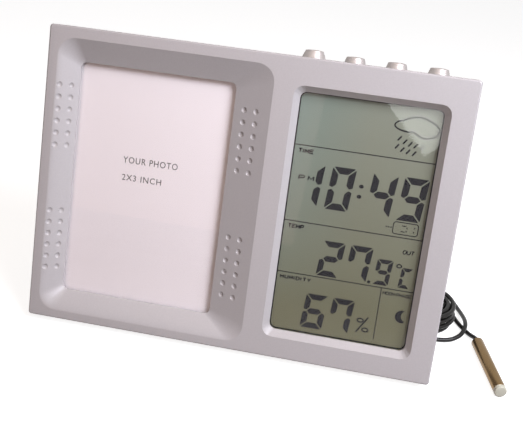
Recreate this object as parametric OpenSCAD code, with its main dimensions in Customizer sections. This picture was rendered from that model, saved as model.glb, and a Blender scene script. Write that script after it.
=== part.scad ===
// Photo frame clock: a landscape case with a picture recess on the left, an LCD weather clock on the
// right, four keys on top, a fold-out leg behind and a wired temperature probe on the table.
// Case pieces are drawn upright (X right, Y from the face to the back, Z up) and then leaned back.

/* [Case] */
// Rim of the face beside, below and above the picture recess
recess_rim = [3.1, 2.7, 3.4];
// Rim of the face beside, below and above the display's bevel
display_rim = [7, 6.8, 8.2];
// Land between the recess and the display
middle_land = 6.1; // [5.9:0.1:8]
// Depth of the front frame
frame_depth = 12; // [11.4:0.1:13]
// Wall of the front frame
wall = 2; // [1.8:0.1:2.2]
// Rounding of the front edges
edge_r = 0.6; // [0.3:0.1:0.8]
// Corner radius of the face
corner_r = 0.9; // [0.9:0.1:1.6]
// Width of the inner ledge that the back shell lands on
ledge_w = 2; // [1.6:0.1:2.2]
// Depth of the lap between the frame and the back shell
lap = 1.5; // [1:0.1:1.8]
// Wall of the back shell
cover_wall = 1.8; // [1.6:0.1:2]
// Angle that the case leans back
lean = 15; // [12:1:18]
// Depth of the flat that the case stands on, measured square to the table
land_cut = 0.5; // [0.3:0.1:0.7]

/* [Picture] */
// Width of the picture card
card_w = 50.8; // [48:0.1:51.4]
// Height of the picture card
card_h = 76.2; // [74:0.1:76.6]
// Thickness of the picture card
card_t = 0.3; // [0.2:0.05:0.4]
// Part of the card hidden behind each side of the opening
lip_x = 0.65; // [0.5:0.05:1]
// Part of the card hidden behind the top and bottom of the opening
lip_z = 1.25; // [1:0.05:1.5]
// Depth of the sloped recess
recess_depth = 4.6; // [4:0.1:5]
// Width of the slope on the outer side
slope_out = 6.15; // [5.5:0.05:6.3]
// Width of the slope towards the display
slope_in = 11.9; // [11:0.1:12.5]
// Height of the slope above the opening
slope_top = 7; // [6:0.1:7.4]
// Height of the slope below the opening
slope_bottom = 6.2; // [5.5:0.1:6.6]
// Corner radius of the recess
recess_r = 5.5; // [4:0.1:7]
// Corner radius of the opening
opening_r = 1.9; // [1.5:0.1:2.5]
// Straight lip behind the slope
lip_t = 0.8; // [0.6:0.1:1]
// Thickness of the clear pane
pane_t = 1; // [0.8:0.1:1.2]
// Thickness of the plate behind the card
back_t = 1.2; // [1:0.1:1.4]

/* [Grip bumps] */
// Diameter of a bump
bump_d = 1.8; // [1.4:0.1:2]
// Height of a bump
bump_h = 0.45; // [0.3:0.05:0.6]
// Rows in each group
bump_rows = 6; // [4:1:6]
// Distance between rows
bump_pitch = 3.74; // [3.2:0.02:3.8]
// Height of each group's middle above or below the picture's middle
bump_group = 19.9; // [17:0.1:21]
// Distances of the two columns from the recess's outer edge
bump_out = [1.3, 4.15];
// Distances of the two columns from the edge towards the display
bump_in = [4.6, 8.55];

/* [Display] */
// Width of the glass that shows
glass_w = 42.65; // [40:0.05:43]
// Width of the bevel round the display
bevel_w = 1.8; // [1.4:0.1:2]
// Depth of the bevel
bevel_depth = 2.3; // [2:0.1:2.4]
// Corner radius outside the bevel
bevel_r = 3.3; // [2.8:0.1:3.6]
// Thickness of the lens
lens_t = 1; // [0.8:0.1:1.1]
// How far the lens and the cell reach behind the edge of the bevel
lens_lap = 1.2; // [1:0.1:1.3]
// Thickness of each LCD glass
lcd_t = 1.1; // [0.9:0.1:1.1]
// Thickness of a polariser or reflector film
film_t = 0.2; // [0.15:0.05:0.3]
// Height of the contact ledges of the LCD glass
contact_ledge = 4; // [3.6:0.1:4.5]
// Thickness of the circuit board
board_t = 1.2; // [1:0.1:1.6]
// Distance from the face to the front of the board
board_y = 9; // [8.9:0.05:9.2]

/* [Keys] */
// Distance between key axes
key_pitch = 12.35; // [12:0.05:12.6]
// Distance from the face to the key axes
key_y = 6.3; // [6.1:0.1:6.5]
// Largest diameter of the first key and of the other three
key_d = [7.2, 6.5];
// Height of the first key and of the other three above the case
key_h = [2.4, 1.9];
// Diameter of a key's top
key_top_d = 4.9; // [4:0.1:5.4]
// How far a key travels
key_travel = 0.6; // [0.4:0.1:0.7]
// Thickness of a key's flange
flange_t = 0.9; // [0.7:0.1:1]
// Gap between a key and its hole
key_gap = 0.2; // [0.15:0.05:0.3]

/* [Leg] */
// Height of the leg's hinge as a share of the face's height
hinge_share = 0.624; // [0.6:0.002:0.66]
// Width of the leg at its hinge
leg_w = 34; // [30:0.5:36]
// Width of the leg at its foot
foot_w = 26; // [22:0.5:30]
// Thickness of the leg
leg_t = 2.4; // [2:0.1:2.6]
// Angle between the open leg and the back
leg_open = 30; // [28:1:34]
// Diameter of the steel hinge pin
pin_d = 2; // [1.6:0.1:2]
// Radius of the leg's knuckle
knuckle_r = 1.9; // [1.7:0.05:1.9]

/* [Batteries] */
// Diameter of a cell
cell_d = 10.5; // [10:0.1:10.5]
// Length of a cell without its cap
cell_len = 43.3; // [42:0.1:44]
// Height of the cell's cap
cap_h = 1.2; // [0.8:0.1:1.4]
// Length of a contact spring in use
spring_len = 4.6; // [4:0.1:5]
// Thickness of the battery door
door_t = 1.6; // [1.4:0.1:1.6]
// Wall of the battery bay
bay_wall = 1.6; // [1.4:0.1:1.8]
// Gap between the plate behind the card and the battery bay
bay_gap = 1.1; // [0.8:0.1:4]
// Thickness of the back shell's rear wall
rear_wall = 1.6; // [1.4:0.1:2]
// Distance from the side of the case to the middle of the bay
bay_side = 25; // [24:0.1:26]
// Height of the bay's floor end
bay_z = 20.2; // [18:0.1:22]

/* [Probe] */
// Diameter of the probe's lead
lead_d = 1.5; // [1.3:0.1:1.5]
// Diameter of the probe tube
probe_d = 4; // [3.6:0.1:4.2]
// Length of the probe tube with its cap
probe_len = 26.6; // [24:0.1:28]
// Turns of the coil
coil_turns = 12.5; // [8.5:1:12.5]
// Radius of the coil's outermost turn
coil_r = 11.6; // [11:0.1:11.6]
// Gap between neighbouring turns
coil_gap = 0.45; // [0.42:0.01:0.5]
// Thickness of the tie round the coil
tie_t = 0.4; // [0.3:0.05:0.4]

/* [Hidden] */

$fn = 48;
tiny = 0.01;
running = 0.02;
slack = 0.15;

// colours, as the photograph shows them
silver = [0.76, 0.73, 0.76];
key_silver = [0.80, 0.76, 0.72];
card_white = [0.87, 0.84, 0.85];
clear = [0.85, 0.90, 0.92, 0.35];
lcd_green = [0.50, 0.52, 0.45];
black = [0.07, 0.07, 0.08];
steel = [0.70, 0.70, 0.70];
board_green = [0.10, 0.30, 0.16];
white_plastic = [0.88, 0.88, 0.85];
dark_plastic = [0.16, 0.16, 0.17];
probe_metal = [0.60, 0.52, 0.42];
cream = [0.82, 0.82, 0.74];

// face: its size follows the picture and the display
open_w = card_w - 2 * lip_x;
open_h = card_h - 2 * lip_z;
face_w = recess_rim[0] + slope_out + open_w + slope_in + middle_land + glass_w + 2 * bevel_w + display_rim[0];
face_h = recess_rim[1] + slope_bottom + open_h + slope_top + recess_rim[2];
card_x = -face_w / 2 + recess_rim[0] + slope_out + open_w / 2;
picture_z = recess_rim[1] + slope_bottom + open_h / 2;
display_x = face_w / 2 - display_rim[0] - bevel_w - glass_w / 2;
glass_h = face_h - display_rim[1] - display_rim[2] - 2 * bevel_w;
display_z = display_rim[1] + bevel_w + glass_h / 2;

// picture
seat_y = recess_depth + lip_t;
pane_w = card_w + 1.2;
pane_h = card_h + 0.6;
pane_bottom = picture_z - card_h / 2 - slack;
card_y = seat_y + pane_t + slack;
channel_y = card_y + card_t + 0.25;
rib_w = 2.05;
rib_x = pane_w / 2 + slack;
plate_y = channel_y + back_t;
plate_boss_r = 1.6;
plate_hole_x = rib_x + 0.1 + plate_boss_r;
plate_half_w = plate_hole_x + plate_boss_r + 0.15;
plate_z = [pane_bottom + 2.5, pane_bottom + pane_h - 0.3];
plate_hole_z = [plate_z[0] + 4, plate_z[1] - 4];
tab_w = 12;
slot_gap = 0.35;
small_screw_d = 1.6;
small_head_d = 3.2;
small_head_h = 1.1;
plate_screw_len = back_t + 2;
board_screw_len = 5;

// display, from the bevel backwards
lens_y = bevel_depth + 0.6;
cell_w = glass_w + 2 * lens_lap;
cell_h = glass_h + 2 * lens_lap;
film_y = lens_y + lens_t;
front_glass_y = film_y + film_t;
rear_glass_y = front_glass_y + lcd_t;
reflector_y = rear_glass_y + lcd_t;
holder_y = reflector_y + film_t;
collar_wall = 1.2;
collar_y = 7;
zebra_w = cell_w - 5;
zebra_h = 2.4;
zebra_z = cell_h / 2 - contact_ledge / 2 + 0.1;
holder_window = [cell_w - 11, cell_h - 18];

// circuit board
board_back = board_y + board_t;
board_x = [display_x - cell_w / 2 - 5.85, face_w / 2 - wall - ledge_w - 0.3];
board_z = [wall + 3.5, face_h - wall - 2.1];
board_boss_r = 1.7;
board_boss_x = [board_x[0] + 2.1, board_x[1] - 2];
board_boss_z = [display_z - 21.8, display_z + 26.2];
// the place on the board at share u of its width and share v of its height
function on_board(u, v) = [board_x[0] + u * (board_x[1] - board_x[0]),
    board_z[0] + v * (board_z[1] - board_z[0])];

// screws of the case
boss_r = 2.4;
boss_x = face_w / 2 - 5.6;
boss_z = [5.6, face_h - 5.6];
screw_d = 2.2;
screw_head_d = 3.6;
screw_head_h = 1.4;
screw_seat = frame_depth + 3;
screw_len = 9;
post_r = 3;

// keys
key_x = [for (i = [0:3]) display_x - 0.75 + (i - 1.5) * key_pitch];
flange_w = 10;
flange_d = 7.6;
flange_z = face_h - wall - 0.1 - flange_t;
switch_w = 6;
plunger_d = 1.9;
plunger_show = flange_z - board_z[1];
plunger_in = 1;
switch_h = 3;
switch_front = 3.6;

// back shell
cover_y = frame_depth - lap;
cover_inset = wall + 0.3;

// the depth of the case follows from the battery bay behind the picture
cell_play = [0.1, 0.8];
bay_floor = plate_y + bay_gap + bay_wall;
cell_y = bay_floor + cell_play[0] + cell_d / 2;
rear_y = bay_floor + cell_play[0] + cell_d + cell_play[1];
case_depth = rear_y + rear_wall;

// leg
pin_y = case_depth - 2.3;
channel_w = leg_w + 0.8;
channel_floor = pin_y - knuckle_r - 0.6;
hinge_z = hinge_share * face_h;
channel_wall = 1.5;
channel_top = hinge_z + knuckle_r + 1.2;
socket_r = 2.2;
socket_len = 3;
foot_r = leg_t / 2;

// the case's place on the table: the flat at the frame's lower back edge is at height 0
foot_lift = frame_depth * sin(lean) - land_cut;
hinge_height = hinge_z * cos(lean) - pin_y * sin(lean) + foot_lift;
leg_len = (hinge_height - foot_r) / cos(leg_open - lean);
front_reach = edge_r * sin(lean);
back_reach = hinge_z * sin(lean) + pin_y * cos(lean) + leg_len * sin(leg_open - lean) + foot_r;
middle_y = (front_reach + back_reach) / 2;

// batteries
contact_t = 0.4;
dimple_h = 0.6;
bay_len = contact_t + spring_len + cell_len + cap_h + dimple_h + contact_t;
bay_w = 2 * cell_d + 2.4;
bay_x = face_w / 2 - bay_side;
cell_dx = cell_d / 2 + 0.4;
door_gap = 0.2;
door_w = bay_w + 2 * bay_wall - 2 * door_gap - 0.2;
door_z = [bay_z - bay_wall + 0.4, bay_z + bay_len + bay_wall - 0.3];
lug_d = 1;
lug_len = 1.4;
wire_y = 14.5;
wire_x = board_x[0] + 7.5;

// grommet and the lead inside the case
grommet_x = on_board(0.69, 0)[0];
grommet_z = on_board(0, 0.114)[1];
grommet_len = 5;
connector_h = 4;

// probe lead on the table: points from the grommet to the coil and from the coil to the probe,
// measured from the front edge of the case at table height
table_z = lead_d / 2 + 0.05;
coil_at = [62.1, 42];
coil_base = lead_d / 2 + tie_t + 0.1;
coil_pitch = lead_d + coil_gap;
coil_end_angle = 25;
coil_start_angle = coil_end_angle + 360 * coil_turns;
layers = 4;
layer_turns = coil_turns / layers;
loop_steps = 24;
lead_points = [[43.9, 39, 7.1], [43.9, 42, 5.3], [43.8, 45, 3.5], [44, 48, 2.1], [44.5, 51, 1.3],
    [45.6, 54, 0.9], [47.4, 56.9, 0.8], [49.9, 59.6, 0.8], [53, 61.9, 0.8], [56.5, 63.5, 0.8],
    [60.2, 64.2, 0.8], [63.8, 64.1, 0.8], [67.2, 63.2, 0.8], [70, 61.5, 0.8], [72, 59.4, 0.8],
    [73.3, 56.6, 0.8], [74.4, 53.5, 0.9], [75.6, 50, 1.1], [76.6, 46, 1.7], [77.2, 42, 2.4],
    [77.3, 38.5, 2.8], [76.8, 35.4, 2.6], [75.7, 32.8, 2], [74, 31.1, 1.5], [72.3, 30, 1.2],
    [70, 29.3, 1], [67, 28.8, 1], [63.8, 28.4, 1.3], [60.5, 28.5, 2.2], [57.3, 29.3, 3.7],
    [55.3, 30.4, 5], [54, 31.8, 6.1], [53.2, 33.3, 6.8]];
tail_points = [[75, 41.9, 0.9], [76.3, 39.7, 0.8], [77.6, 37.6, 0.8], [78.6, 35.8, 1],
    [79.5, 34.2, 1.4]];
probe_at = [81.1, 30.1];
probe_turn = 13.2;
probe_cap_len = 1.4;

// ---- shapes ----

// places a case piece, drawn upright, on the table
module stand_up() translate([0, -middle_y, foot_lift]) rotate([-lean, 0, 0]) children();

// places a piece that is drawn on the table in front-edge coordinates
module on_table() translate([0, -middle_y, 0]) children();

// extrudes an outline in X and Z from depth y0 to depth y1
module slab(y0, y1) translate([0, y1, 0]) rotate([90, 0, 0]) linear_extrude(y1 - y0) children();

// a cylinder along the depth
module bar(x, z, r, y0, y1) translate([x, y0, z]) rotate([-90, 0, 0]) cylinder(h = y1 - y0, r = r);

// a box from one corner to the other
module block(low, high) translate(low) cube(high - low);

// an outline's corner points, counter-clockwise seen from the front: a rectangle with round corners
function ring(x0, x1, z0, z1, r, y, n = 4) = [for (c = [0:3], i = [0:n])
    let (a = 90 * c + 90 * i / n, cx = c == 0 || c == 3 ? x1 - r : x0 + r, cz = c < 2 ? z1 - r : z0 + r)
    [cx + r * cos(a), y, cz + r * sin(a)]];

// a solid through rings of equal length, from the front ring to the back ring
module skin(rings) {
    m = len(rings[0]);
    last = len(rings) - 1;
    sides = [for (k = [0:last - 1], i = [0:m - 1]) let (j = (i + 1) % m)
        each [[k * m + i, k * m + j, (k + 1) * m + j], [k * m + i, (k + 1) * m + j, (k + 1) * m + i]]];
    front = [[for (i = [m - 1:-1:0]) i]];
    back = [[for (i = [0:m - 1]) last * m + i]];
    polyhedron([for (k = rings) each k], concat(sides, front, back), convexity = 6);
}

function unit(v) = v / norm(v);

// a round tube of radius r through the points, with square ends; ref is never along the tube
module tube(points, r, sides, ref = [0, 0, 1]) {
    last = len(points) - 1;
    along = [for (i = [0:last]) unit(points[min(i + 1, last)] - points[max(i - 1, 0)])];
    across = [for (t = along) unit(cross(t, ref))];
    rim = [for (i = [0:last], k = [0:sides - 1]) let (a = 360 * k / sides)
        points[i] + r * (cos(a) * across[i] + sin(a) * cross(across[i], along[i]))];
    skin_faces = [for (i = [0:last - 1], k = [0:sides - 1]) let (n = (k + 1) % sides)
        each [[i * sides + k, (i + 1) * sides + n, i * sides + n],
            [i * sides + k, (i + 1) * sides + k, (i + 1) * sides + n]]];
    start = [[for (k = [0:sides - 1]) k]];
    end = [[for (k = [sides - 1:-1:0]) last * sides + k]];
    polyhedron(rim, concat(skin_faces, start, end), convexity = 10);
}

// ---- front frame ----

// share of a softened slope's width that is used up at share t of its depth
soften = 0.35;
function eased(t) = (1 - soften) * t + soften * sqrt(t);

// share of the depth at share e of the width: the inverse of eased()
function depth_share(e) = pow((sqrt(pow(soften, 2) + 4 * (1 - soften) * e) - soften) / (2 * (1 - soften)), 2);

// the recess's outline at share t of its depth, grown all round by g and moved back by dy:
// the slopes at the outer side and below start with a soft round, the other two with a crisp edge
function recess_ring(t, g, dy) = ring(
    card_x - open_w / 2 - slope_out * (1 - eased(t)) - g, card_x + open_w / 2 + slope_in * (1 - t) + g,
    picture_z - open_h / 2 - slope_bottom * (1 - eased(t)) - g,
        picture_z + open_h / 2 + slope_top * (1 - t) + g,
    opening_r + (recess_r - opening_r) * (1 - t) + g / 2, recess_depth * t + dy, 8);

recess_rings = 12;
recess_shares = [for (k = [0:recess_rings]) pow(k / recess_rings, 2)];

module recess_hollow() {
    skin(concat([recess_ring(0, 0, -1)], [for (t = recess_shares) recess_ring(t, 0, 0)],
        [recess_ring(1, 0, lip_t + 1)]));
}

// the recess's own wall, which follows the slopes at one thickness
module recess_shell() {
    skin([recess_ring(0, 1.9, 0.8), recess_ring(0.2, 1.9, 0.9), recess_ring(1, 1.9, lip_t)]);
}

// a column of bumps on a slope of width w that starts at x0 and falls along direction side
module bump_column(x0, side, w, from_edge, share) {
    ball_r = (pow(bump_d / 2, 2) + pow(bump_h, 2)) / (2 * bump_h);
    sunk = ball_r - bump_h;
    fall = norm([w, recess_depth]);
    x = x0 + side * (from_edge - recess_depth / fall * sunk);
    y = recess_depth * share + w / fall * sunk;
    for (group = [-1, 1], row = [0:bump_rows - 1])
        translate([x, y, picture_z + group * bump_group + (row - (bump_rows - 1) / 2) * bump_pitch])
            sphere(r = ball_r, $fn = 24);
}

module bumps() {
    left = card_x - open_w / 2 - slope_out;
    right = card_x + open_w / 2 + slope_in;
    for (d = bump_out) bump_column(left, 1, slope_out, d, depth_share(d / slope_out));
    for (d = bump_in) bump_column(right, -1, slope_in, d, d / slope_in);
}

module frame_block() {
    half = face_w / 2;
    skin([for (p = [[0, edge_r], [0.13 * edge_r, 0.5 * edge_r], [0.5 * edge_r, 0.13 * edge_r],
        [edge_r, 0], [frame_depth, 0]])
        ring(-half + p[1], half - p[1], p[1], face_h - p[1], corner_r - p[1] / 2, p[0], 3)]);
}

// the hollow behind the face: one step up to the ledge, one step wider at the lap
module frame_hollow() {
    edge = wall + ledge_w;
    half = face_w / 2;
    block([-half + edge, wall, edge], [half - edge, frame_depth + 1, face_h - edge]);
    block([-half + wall, cover_y, wall], [half - wall, frame_depth + 1, face_h - wall]);
    block([key_x[0] - flange_w / 2 - 1, wall, board_z[1]],
        [key_x[3] + flange_w / 2 + 1, cover_y + tiny, face_h - wall]);
}

module display_bevel() {
    w = glass_w / 2;
    h = glass_h / 2;
    inner_r = bevel_r - bevel_w + 0.5;
    skin([for (p = [[-0.5, bevel_w * (1 + 0.5 / bevel_depth)], [bevel_depth, 0], [lens_y + 0.5, 0]])
        ring(display_x - w - p[1], display_x + w + p[1], display_z - h - p[1], display_z + h + p[1],
            p[1] > 0 ? bevel_r : inner_r, p[0])]);
}

module picture_channel() {
    for (side = [-1, 1]) {
        x = card_x + side * (rib_x + rib_w / 2);
        block([x - rib_w / 2, wall, pane_bottom - rib_w], [x + rib_w / 2, channel_y, plate_z[1]]);
        for (z = plate_hole_z) bar(card_x + side * plate_hole_x, z, plate_boss_r, wall, channel_y);
    }
    block([card_x - rib_x - rib_w, wall, pane_bottom - rib_w],
        [card_x + rib_x + rib_w, channel_y, pane_bottom]);
}

module front_frame() color(silver) stand_up() difference() {
    union() {
        difference() {
            frame_block();
            frame_hollow();
        }
        recess_shell();
        picture_channel();
        block([display_x - cell_w / 2 - slack - collar_wall, wall / 2,
            display_z - cell_h / 2 - slack - collar_wall],
            [display_x + cell_w / 2 + slack + collar_wall, collar_y,
                display_z + cell_h / 2 + slack + collar_wall]);
        for (x = [-boss_x, boss_x], z = boss_z) bar(x, z, boss_r, wall / 2, cover_y);
        for (x = board_boss_x, z = board_boss_z) bar(x, z, board_boss_r, wall / 2, board_y);
    }
    difference() {
        recess_hollow();
        bumps();
    }
    display_bevel();
    block([display_x - cell_w / 2 - slack, lens_y, display_z - cell_h / 2 - slack],
        [display_x + cell_w / 2 + slack, collar_y + 0.5, display_z + cell_h / 2 + slack]);
    for (i = [0:3]) translate([key_x[i], key_y, face_h - wall - 1])
        cylinder(h = wall + 2, d = key_d[min(i, 1)] + 2 * key_gap);
    block([card_x - card_w / 2 - slot_gap, card_y - slot_gap / 2, plate_z[1]],
        [card_x + card_w / 2 + slot_gap, card_y + card_t + slot_gap, face_h + 1]);
    for (x = [-boss_x, boss_x], z = boss_z) bar(x, z, screw_d / 2 + running,
        screw_seat - screw_len - 0.5, cover_y + 1);
    for (x = board_boss_x, z = board_boss_z) bar(x, z, small_screw_d / 2 + running,
        board_back - board_screw_len - 0.2, board_y + 1);
    for (side = [-1, 1], z = plate_hole_z)
        bar(card_x + side * plate_hole_x, z, small_screw_d / 2 + running,
            plate_y - plate_screw_len - 0.2, channel_y + 1);
    // the flat that the case stands on
    rotate([lean, 0, 0]) translate([-face_w, -face_w, -foot_lift - 50]) cube([2 * face_w, 2 * face_w, 50]);
}

// ---- picture ----

module picture_window() color(clear) stand_up() difference() {
    block([card_x - pane_w / 2, seat_y, pane_bottom], [card_x + pane_w / 2, seat_y + pane_t,
        pane_bottom + pane_h]);
    // one clipped corner shows which way round the pane goes in
    translate([card_x - pane_w / 2, seat_y, pane_bottom + pane_h]) rotate([0, 45, 0])
        cube([2, 4 * pane_t, 2], center = true);
}

module picture_card() color(card_white) stand_up() {
    bottom = picture_z - card_h / 2;
    slab(card_y, card_y + card_t) union() {
        translate([card_x - card_w / 2, bottom]) square([card_w, card_h]);
        // pull tab in the slot
        translate([card_x - tab_w / 2, bottom + card_h - 1])
            square([tab_w, face_h - 0.4 - tab_w / 4 - bottom - card_h + 1]);
        translate([card_x, face_h - 0.4 - tab_w / 4]) square([tab_w / 2, tab_w / 2], center = true);
    }
}

module picture_back() color(white_plastic) stand_up() difference() {
    block([card_x - plate_half_w, channel_y, plate_z[0]], [card_x + plate_half_w, plate_y, plate_z[1]]);
    for (side = [-1, 1], z = plate_hole_z)
        bar(card_x + side * plate_hole_x, z, small_screw_d / 2 + 0.1, channel_y - 1, plate_y + 1);
    // half-round notch that bares the card's edge for a finger
    bar(card_x, plate_z[1], 8, channel_y - 1, plate_y + 1);
}

module small_screw(x, z, y, length) difference() {
    union() {
        bar(x, z, small_head_d / 2, y, y + small_head_h);
        bar(x, z, small_screw_d / 2, y - length, y + tiny);
    }
    for (turn = [0, 90]) translate([x, y + small_head_h, z]) rotate([0, turn, 0])
        cube([2, 1, 0.45], center = true);
}

module picture_back_screws() color(steel) stand_up()
    for (side = [-1, 1], z = plate_hole_z) small_screw(card_x + side * plate_hole_x, z, plate_y,
        plate_screw_len);

// ---- display ----

module display_plate(y, t, h = cell_h) translate([display_x, y + t / 2, display_z])
    cube([cell_w, t, h], center = true);

module lcd_lens() color(clear) stand_up() display_plate(lens_y, lens_t);
module front_polariser() color(lcd_green) stand_up() display_plate(film_y, film_t, cell_h - 2 * slack);
module lcd_front_glass() color(clear) stand_up() display_plate(front_glass_y, lcd_t);
module lcd_rear_glass() color(clear) stand_up() display_plate(rear_glass_y, lcd_t,
    cell_h - 2 * contact_ledge);
module rear_reflector() color(lcd_green) stand_up() display_plate(reflector_y, film_t,
    cell_h - 2 * contact_ledge);

module lcd_holder() color(white_plastic) stand_up() difference() {
    display_plate(holder_y, board_y - holder_y);
    translate([display_x, board_y, display_z]) cube([holder_window[0], 10, holder_window[1]],
        center = true);
    for (side = [-1, 1]) translate([display_x, board_y, display_z + side * zebra_z])
        cube([zebra_w + 0.2, 10, zebra_h + 0.2], center = true);
}

module zebra_strips() color([0.85, 0.45, 0.55]) stand_up() for (side = [-1, 1])
    translate([display_x - zebra_w / 2, rear_glass_y, display_z + side * zebra_z - zebra_h / 2])
        cube([zebra_w, board_y - rear_glass_y, zebra_h]);

// ---- electronics ----

module circuit_board() color(board_green) stand_up() difference() {
    block([board_x[0], board_y, board_z[0]], [board_x[1], board_back, board_z[1]]);
    // corners cut away round the case's screw bosses
    for (z = boss_z) translate([boss_x, board_y, z]) cube([2 * boss_r + 0.8, 6, 2 * boss_r + 0.8],
        center = true);
    for (x = board_boss_x, z = board_boss_z) bar(x, z, small_screw_d / 2 + 0.1, board_y - 1,
        board_back + 1);
}

module board_screws() color(steel) stand_up()
    for (x = board_boss_x, z = board_boss_z) small_screw(x, z, board_back, board_screw_len);

module switch_bodies() color(dark_plastic) stand_up() for (x = key_x) difference() {
    block([x - switch_w / 2, switch_front, board_z[1] - switch_h], [x + switch_w / 2, board_y, board_z[1]]);
    translate([x, key_y, board_z[1] - plunger_in - key_travel - 0.2])
        cylinder(h = 5, r = plunger_d / 2 + 0.1);
}

// a key: cone above the case, shank in the hole, flange under the wall
module key(i) color(key_silver) stand_up() translate([key_x[i], key_y, 0]) {
    d = key_d[min(i, 1)];
    h = key_h[min(i, 1)];
    crown = 0.3;
    translate([0, 0, face_h]) rotate_extrude()
        polygon([[0, -wall - 0.1], [d / 2, -wall - 0.1], [d / 2, 0.1],
            [key_top_d / 2 + 0.35, h - crown - 0.25],
            [key_top_d / 2, h - crown], [key_top_d / 4, h - crown / 4], [0, h]]);
    translate([0, 0, flange_z + flange_t / 2]) cube([flange_w, flange_d, flange_t], center = true);
}
module key_1() key(0);
module key_2() key(1);
module key_3() key(2);
module key_4() key(3);

module plunger(i) color(white_plastic) stand_up()
    translate([key_x[i], key_y, board_z[1] - plunger_in])
        cylinder(h = plunger_show + plunger_in, d = plunger_d);
module plunger_1() plunger(0);
module plunger_2() plunger(1);
module plunger_3() plunger(2);
module plunger_4() plunger(3);

// a drop of resin over the chip: shares of its radius and of its height
resin_r = 8;
resin_h = 1.65;
resin_profile = [[0, 0], [1, 0], [0.93, 0.36], [0.75, 0.67], [0.5, 0.88], [0.25, 0.97], [0, 1]];

module chip_resin() color(black) stand_up()
    translate([on_board(0.43, 0)[0], board_back, on_board(0, 0.56)[1]]) rotate([-90, 0, 0])
        rotate_extrude() polygon([for (p = resin_profile) [resin_r * p[0], resin_h * p[1]]]);

module quartz_crystal() color(steel) stand_up() translate([on_board(0.55, 0)[0], board_back + 1,
    on_board(0, 0.72)[1]]) {
    cylinder(h = 6, r = 1);
    translate([0, 0, -0.6]) cylinder(h = 0.8, r = 0.7);
}

module capacitor() color([0.15, 0.2, 0.35]) stand_up()
    bar(on_board(0.32, 0)[0], on_board(0, 0.75)[1], 2.5, board_back, board_back + 5.5);

module resistors() color(black) stand_up()
    for (p = [[0.14, 0.37], [0.14, 0.41], [0.14, 0.46], [0.21, 0.65], [0.69, 0.41], [0.69, 0.46]])
        translate([on_board(p[0], 0)[0], board_back, on_board(0, p[1])[1]]) cube([2, 0.6, 1.2]);

buzzer_r = 6;
buzzer_h = 4.2;

module buzzer() color(black) stand_up() difference() {
    at = on_board(0.32, 0.25);
    bar(at[0], at[1], buzzer_r, board_back, board_back + buzzer_h);
    bar(at[0], at[1], buzzer_r / 6, board_back + buzzer_h - 1.2, board_back + buzzer_h + 1);
}

// the sensor sits behind the vents
vent_at = on_board(0.84, 0.76);
vent_h = 1.3;
vent_step = 2.6;
sensor_w = 8;
sensor_h = 10;

module humidity_sensor() color([0.92, 0.92, 0.90]) stand_up() difference() {
    block([vent_at[0] - sensor_w / 2, board_back, vent_at[1] - sensor_h / 2],
        [vent_at[0] + sensor_w / 2, board_back + 4, vent_at[1] + sensor_h / 2]);
    for (i = [-1:1]) block([vent_at[0] - sensor_w / 2 + 1, board_back + 3,
        vent_at[1] + i * vent_step - 0.5],
        [vent_at[0] + sensor_w / 2 - 1, board_back + 5, vent_at[1] + i * vent_step + 0.5]);
}

module room_sensor() color([0.35, 0.2, 0.1]) stand_up()
    translate([on_board(0.875, 0)[0], board_back, on_board(0, 0.56)[1]]) {
        translate([0, 1.2, 4]) sphere(r = 1.2);
        for (x = [-0.5, 0.5]) translate([x, 0.4, 0]) cylinder(h = 4, r = 0.25, $fn = 16);
    }

// ---- back shell ----

// depth and inset of the shell's outline, drawn in towards the back so that the case clears the table
cover_profile = [[0, 0], [0.64, 0.9], [0.86, 1.7], [0.96, 2.5], [1, 3.4]];
function cover_ring(p, extra, back) = let (inset = cover_inset + p[1] + extra)
    ring(-face_w / 2 + inset, face_w / 2 - inset, inset, face_h - inset, 2.4 + p[1] - extra / 2,
        cover_y + p[0] * (back - cover_y));

module battery_bay_walls() {
    block([-bay_x - bay_w / 2 - bay_wall, bay_floor - bay_wall, bay_z - bay_wall],
        [-bay_x + bay_w / 2 + bay_wall, rear_y, bay_z + bay_len + bay_wall]);
}

module channel_walls() {
    half = channel_w / 2 + channel_wall;
    block([-half, channel_floor - channel_wall, cover_inset + 2],
        [half, rear_y + tiny, channel_top + channel_wall]);
    for (side = [-1, 1]) translate([side * (channel_w / 2 + socket_len / 2 + 0.3), pin_y, hinge_z])
        rotate([0, 90, 0]) cylinder(h = socket_len + 0.6, r = socket_r, center = true);
}

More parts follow.
